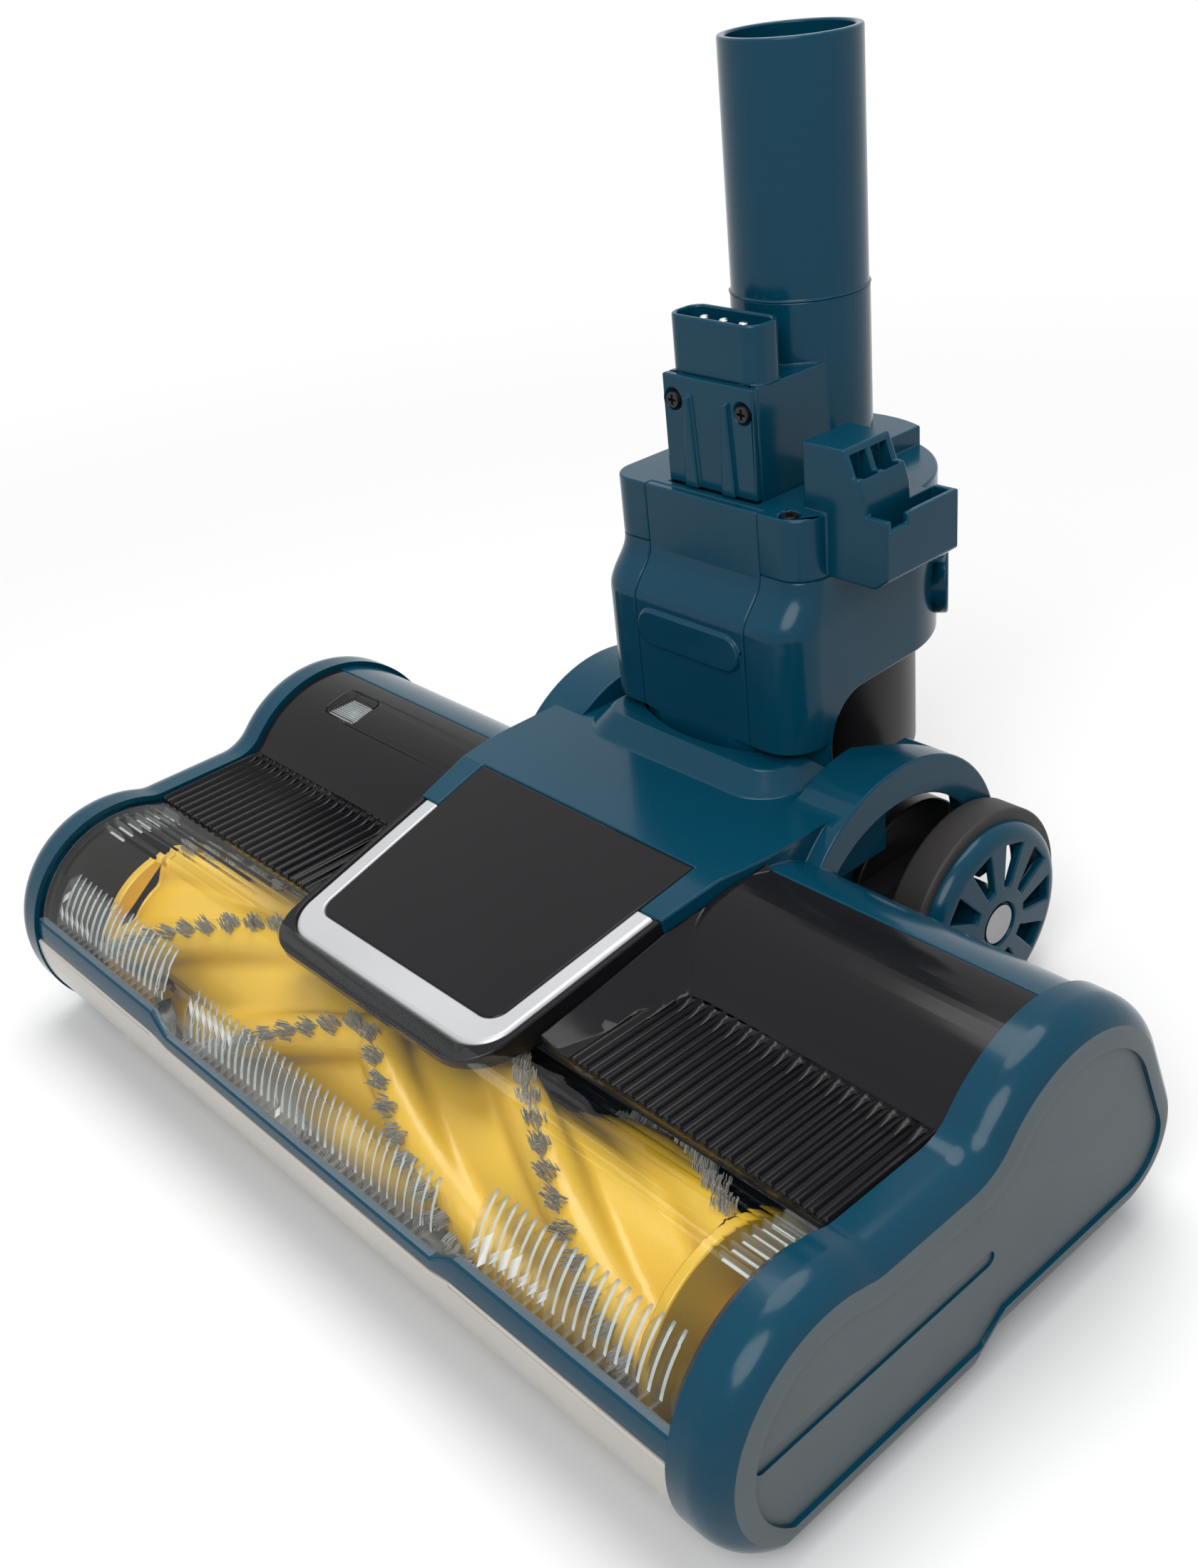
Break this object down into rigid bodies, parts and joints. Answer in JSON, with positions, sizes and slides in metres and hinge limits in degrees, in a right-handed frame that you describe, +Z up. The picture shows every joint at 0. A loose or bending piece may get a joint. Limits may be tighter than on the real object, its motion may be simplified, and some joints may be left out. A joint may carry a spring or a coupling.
{
  "type": "vacuum floor head",
  "caption": "Motorised vacuum floor head: brush roll behind a clear comb window, rear wheels, and a tilting, swivelling neck with plug socket, latch block and air tube.",
  "frame": {"origin": "middle of the footprint's bounding box, on the floor", "axes": "+X across the head to its right, -Y to the front, +Z up along the upright tube"},
  "size_m": [0.29, 0.228, 0.252],
  "materials": {
    "teal_plastic": "satin gloss, fine metallic flake",
    "gloss_black": "gloss",
    "satin_silver": "satin silver paint",
    "clear_plastic": "clear gloss",
    "golden_plastic": "satin gold",
    "grey_bristle": "cut nylon bristle",
    "dark_plastic": "fine texture",
    "pale_bumper": "satin, slightly see-through",
    "wheel_rubber": "matt",
    "steel": "turned",
    "dark_screw": "black oxide",
    "plated_contact": "plated",
    "circuit_board": "solder mask"
  },
  "bodies": {
    "head": {"chassis": "dark_plastic", "sole_plate": "dark_plastic", "sole_screws": "dark_screw", "roller_pins": "steel", "left_end_cap": "teal_plastic", "right_end_cap": "teal_plastic", "top_cover": "teal_plastic", "left_top_panel": "gloss_black", "right_top_panel": "gloss_black", "indicator_lens": "clear_plastic", "indicator_board": "circuit_board", "badge_panel": "gloss_black", "silver_trim": "satin_silver", "console_base": "gloss_black", "clear_window": "clear_plastic", "front_strip": "teal_plastic", "front_bumper": "pale_bumper", "brush_bearing_left": "steel", "brush_bearing_right": "steel", "drive_motor": "steel", "motor_saddle": "dark_plastic", "drive_belt": "wheel_rubber", "suction_duct": "dark_plastic", "left_axle": "steel", "right_axle": "steel"},
    "brush": {"brush_core": "golden_plastic", "brush_bristles": "grey_bristle", "brush_pulley": "dark_plastic"},
    "motor_rotor": {"motor_shaft": "steel", "motor_pulley": "steel"},
    "left_wheel": {"left_wheel_hub": "teal_plastic", "left_wheel_tyre": "wheel_rubber"},
    "right_wheel": {"right_wheel_hub": "teal_plastic", "right_wheel_tyre": "wheel_rubber"},
    "left_roller": {"left_front_roller": "dark_plastic"},
    "right_roller": {"right_front_roller": "dark_plastic"},
    "yoke": {"tilt_yoke": "dark_plastic"},
    "neck": {"neck_shell": "teal_plastic", "neck_front_panel": "teal_plastic", "neck_deck": "teal_plastic", "deck_screw": "dark_screw", "air_tube": "teal_plastic", "contact_pins": "plated_contact", "plug_cover_plate": "teal_plastic", "plate_screws": "dark_screw", "shell_caps": "dark_plastic"}
  },
  "joints": [
    {"name": "brush_spin", "type": "hinge", "parent": "head", "child": "brush", "pos_m": [0, -0.077, 0.0295], "axis": [1, 0, 0], "continuous": true},
    {"name": "motor_spin", "type": "hinge", "parent": "head", "child": "motor_rotor", "pos_m": [0, -0.003, 0.04], "axis": [1, 0, 0], "continuous": true},
    {"name": "left_wheel_spin", "type": "hinge", "parent": "head", "child": "left_wheel", "pos_m": [0, 0.0695, 0.0315], "axis": [1, 0, 0], "continuous": true},
    {"name": "right_wheel_spin", "type": "hinge", "parent": "head", "child": "right_wheel", "pos_m": [0, 0.0695, 0.0315], "axis": [1, 0, 0], "continuous": true},
    {"name": "left_roller_spin", "type": "hinge", "parent": "head", "child": "left_roller", "pos_m": [0, -0.056, 0.0055], "axis": [1, 0, 0], "continuous": true},
    {"name": "right_roller_spin", "type": "hinge", "parent": "head", "child": "right_roller", "pos_m": [0, -0.056, 0.0055], "axis": [1, 0, 0], "continuous": true},
    {"name": "neck_tilt", "type": "hinge", "parent": "head", "child": "yoke", "pos_m": [0, 0.0695, 0.0315], "axis": [-1, 0, 0], "range_deg": [0, 75]},
    {"name": "neck_swivel", "type": "hinge", "parent": "yoke", "child": "neck", "pos_m": [0, 0.0795, 0.1], "axis": [0, 0, 1], "range_deg": [-15, 15]}
  ],
  "couplings": [
    {"joint": "motor_spin", "follows": "brush_spin", "ratio": 2}
  ]
}
